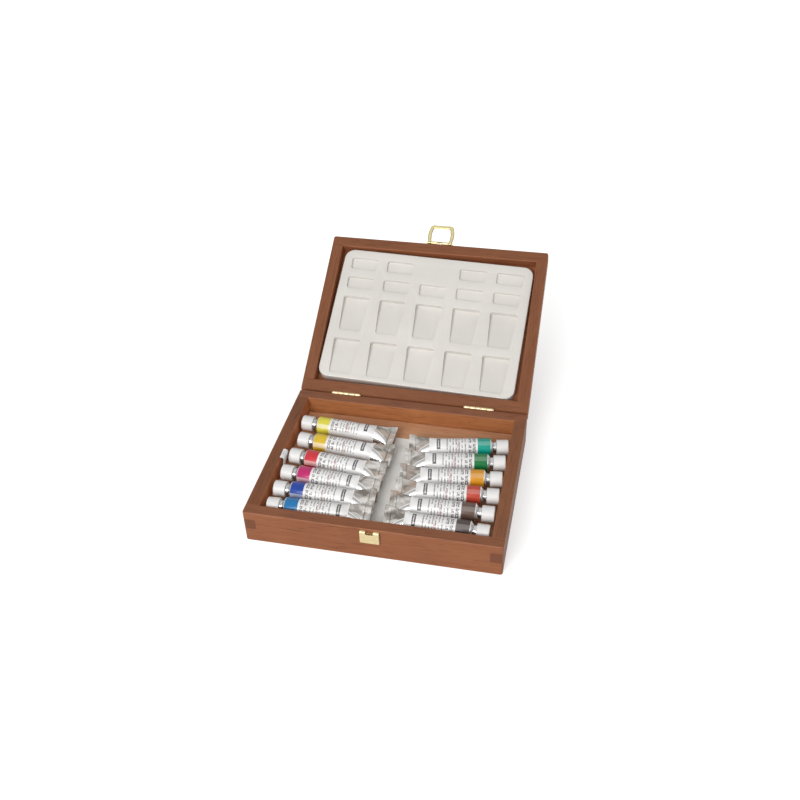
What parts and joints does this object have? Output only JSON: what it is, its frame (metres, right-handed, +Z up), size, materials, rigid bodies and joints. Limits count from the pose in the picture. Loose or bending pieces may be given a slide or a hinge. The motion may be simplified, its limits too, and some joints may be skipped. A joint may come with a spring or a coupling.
{
  "type": "watercolor paint box",
  "caption": "Finger-jointed wooden paint box, lid open, with a moulded palette in the lid and capped paint tubes on a lift-out floor in the base",
  "frame": {"origin": "centre of the base's underside", "axes": "+X right along the front, +Y to the hinges at the back, +Z up"},
  "size_m": [0.245, 0.3819, 0.1448],
  "materials": {
    "walnut_board": "satin lacquer over brown stain",
    "panel_wood": "satin lacquer over brown stain",
    "floor_wood": "satin lacquer, lighter brown",
    "pale_brass": "polished, pale",
    "palette_plastic": "white, semi-gloss",
    "liner_plastic": "white, translucent",
    "tab_card": "white card",
    "tube_metal": "bare tube with a white printed label",
    "cap_plastic": "white, moulded"
  },
  "bodies": {
    "base": {"base_front_wall": "walnut_board", "base_back_wall": "walnut_board", "base_left_wall": "walnut_board", "base_right_wall": "walnut_board", "base_bottom_panel": "panel_wood", "floor_runners": "panel_wood", "latch_keeper": "pale_brass", "keeper_nails": "pale_brass", "left_hinge_base_leaf": "pale_brass", "right_hinge_base_leaf": "pale_brass", "left_hinge_pin": "pale_brass", "right_hinge_pin": "pale_brass", "base_hinge_screws": "pale_brass"},
    "lid": {"lid_front_wall": "walnut_board", "lid_back_wall": "walnut_board", "lid_left_wall": "walnut_board", "lid_right_wall": "walnut_board", "lid_top_panel": "panel_wood", "left_hinge_lid_leaf": "pale_brass", "right_hinge_lid_leaf": "pale_brass", "lid_hinge_screws": "pale_brass", "latch_plate": "pale_brass", "latch_screws": "pale_brass", "latch_pin": "pale_brass"},
    "latch_loop": {"latch_loop": "pale_brass"},
    "palette": {"palette": "palette_plastic"},
    "lift_out_floor": {"floor_board": "floor_wood", "liner_strip": "liner_plastic", "pull_tab": "tab_card"},
    "tube_01": {"paint_tube_01": "tube_metal"},
    "cap_01": {"tube_cap_01": "cap_plastic"},
    "tube_02": {"paint_tube_02": "tube_metal"},
    "cap_02": {"tube_cap_02": "cap_plastic"},
    "tube_03": {"paint_tube_03": "tube_metal"},
    "cap_03": {"tube_cap_03": "cap_plastic"},
    "tube_04": {"paint_tube_04": "tube_metal"},
    "cap_04": {"tube_cap_04": "cap_plastic"},
    "tube_05": {"paint_tube_05": "tube_metal"},
    "cap_05": {"tube_cap_05": "cap_plastic"},
    "tube_06": {"paint_tube_06": "tube_metal"},
    "cap_06": {"tube_cap_06": "cap_plastic"},
    "tube_07": {"paint_tube_07": "tube_metal"},
    "cap_07": {"tube_cap_07": "cap_plastic"},
    "tube_08": {"paint_tube_08": "tube_metal"},
    "cap_08": {"tube_cap_08": "cap_plastic"},
    "tube_09": {"paint_tube_09": "tube_metal"},
    "cap_09": {"tube_cap_09": "cap_plastic"},
    "tube_10": {"paint_tube_10": "tube_metal"},
    "cap_10": {"tube_cap_10": "cap_plastic"},
    "tube_11": {"paint_tube_11": "tube_metal"},
    "cap_11": {"tube_cap_11": "cap_plastic"},
    "tube_12": {"paint_tube_12": "tube_metal"},
    "cap_12": {"tube_cap_12": "cap_plastic"}
  },
  "joints": [
    {"name": "lid_hinge", "type": "hinge", "parent": "base", "child": "lid", "pos_m": [0, 0.09515, 0.0361], "axis": [-1, 0, 0], "range_deg": [-149.4, 0]},
    {"name": "latch_loop_swing", "type": "hinge", "parent": "lid", "child": "latch_loop", "pos_m": [0, 0.26283, 0.13259], "axis": [-1, 0, 0], "range_deg": [-90, 85]},
    {"name": "palette_lift", "type": "slide", "parent": "lid", "child": "palette", "axis": [0, -0.509, 0.8607], "range_m": [0, 0.04]},
    {"name": "floor_lift", "type": "slide", "parent": "base", "child": "lift_out_floor", "axis": [0, 0, 1], "range_m": [0, 0.06]},
    {"name": "tube_01_lift", "type": "slide", "parent": "lift_out_floor", "child": "tube_01", "axis": [0, 0.4067, 0.9135], "range_m": [0, 0.06]},
    {"name": "cap_01_turn", "type": "hinge", "parent": "tube_01", "child": "cap_01", "pos_m": [-0.107, 0.051, 0.02735], "axis": [-0.9972, 0.075, 0], "range_deg": [0, 900]},
    {"name": "tube_02_lift", "type": "slide", "parent": "lift_out_floor", "child": "tube_02", "axis": [0, 0.4067, 0.9135], "range_m": [0, 0.06]},
    {"name": "cap_02_turn", "type": "hinge", "parent": "tube_02", "child": "cap_02", "pos_m": [-0.103, 0.0242, 0.02735], "axis": [-0.9958, 0.092, 0], "range_deg": [0, 900]},
    {"name": "tube_03_lift", "type": "slide", "parent": "lift_out_floor", "child": "tube_03", "axis": [0, 0.4067, 0.9135], "range_m": [0, 0.06]},
    {"name": "cap_03_turn", "type": "hinge", "parent": "tube_03", "child": "cap_03", "pos_m": [-0.1044, -0.001, 0.02735], "axis": [-0.9939, 0.11, 0], "range_deg": [0, 900]},
    {"name": "tube_04_lift", "type": "slide", "parent": "lift_out_floor", "child": "tube_04", "axis": [0, 0.4067, 0.9135], "range_m": [0, 0.06]},
    {"name": "cap_04_turn", "type": "hinge", "parent": "tube_04", "child": "cap_04", "pos_m": [-0.1052, -0.0263, 0.02735], "axis": [-0.9976, 0.069, 0], "range_deg": [0, 900]},
    {"name": "tube_05_lift", "type": "slide", "parent": "lift_out_floor", "child": "tube_05", "axis": [0, 0.4067, 0.9135], "range_m": [0, 0.06]},
    {"name": "cap_05_turn", "type": "hinge", "parent": "tube_05", "child": "cap_05", "pos_m": [-0.1056, -0.0499, 0.02735], "axis": [-0.9997, 0.025, 0], "range_deg": [0, 900]},
    {"name": "tube_06_lift", "type": "slide", "parent": "lift_out_floor", "child": "tube_06", "axis": [0, 0, 1], "range_m": [0, 0.06]},
    {"name": "cap_06_turn", "type": "hinge", "parent": "tube_06", "child": "cap_06", "pos_m": [-0.105, -0.0734, 0.02735], "axis": [-0.9998, -0.02, 0], "range_deg": [0, 900]},
    {"name": "tube_07_lift", "type": "slide", "parent": "lift_out_floor", "child": "tube_07", "axis": [0, 0.4067, 0.9135], "range_m": [0, 0.06]},
    {"name": "cap_07_turn", "type": "hinge", "parent": "tube_07", "child": "cap_07", "pos_m": [0.1086, 0.0495, 0.02735], "axis": [0.9837, 0.18, 0], "range_deg": [0, 900]},
    {"name": "tube_08_lift", "type": "slide", "parent": "lift_out_floor", "child": "tube_08", "axis": [0, 0.4067, 0.9135], "range_m": [0, 0.06]},
    {"name": "cap_08_turn", "type": "hinge", "parent": "tube_08", "child": "cap_08", "pos_m": [0.1089, 0.0252, 0.02735], "axis": [0.9884, 0.152, 0], "range_deg": [0, 900]},
    {"name": "tube_09_lift", "type": "slide", "parent": "lift_out_floor", "child": "tube_09", "axis": [0, 0.4067, 0.9135], "range_m": [0, 0.06]},
    {"name": "cap_09_turn", "type": "hinge", "parent": "tube_09", "child": "cap_09", "pos_m": [0.1089, 0.0012, 0.02735], "axis": [0.9904, 0.138, 0], "range_deg": [0, 900]},
    {"name": "tube_10_lift", "type": "slide", "parent": "lift_out_floor", "child": "tube_10", "axis": [0, 0.4067, 0.9135], "range_m": [0, 0.06]},
    {"name": "cap_10_turn", "type": "hinge", "parent": "tube_10", "child": "cap_10", "pos_m": [0.1092, -0.023, 0.02735], "axis": [0.9959, 0.09, 0], "range_deg": [0, 900]},
    {"name": "tube_11_lift", "type": "slide", "parent": "lift_out_floor", "child": "tube_11", "axis": [0, 0.4067, 0.9135], "range_m": [0, 0.06]},
    {"name": "cap_11_turn", "type": "hinge", "parent": "tube_11", "child": "cap_11", "pos_m": [0.1082, -0.0475, 0.02735], "axis": [0.999, 0.045, 0], "range_deg": [0, 900]},
    {"name": "tube_12_lift", "type": "slide", "parent": "lift_out_floor", "child": "tube_12", "axis": [0, 0, 1], "range_m": [0, 0.06]},
    {"name": "cap_12_turn", "type": "hinge", "parent": "tube_12", "child": "cap_12", "pos_m": [0.107, -0.0722, 0.02735], "axis": [1, -0.008, 0], "range_deg": [0, 900]}
  ]
}
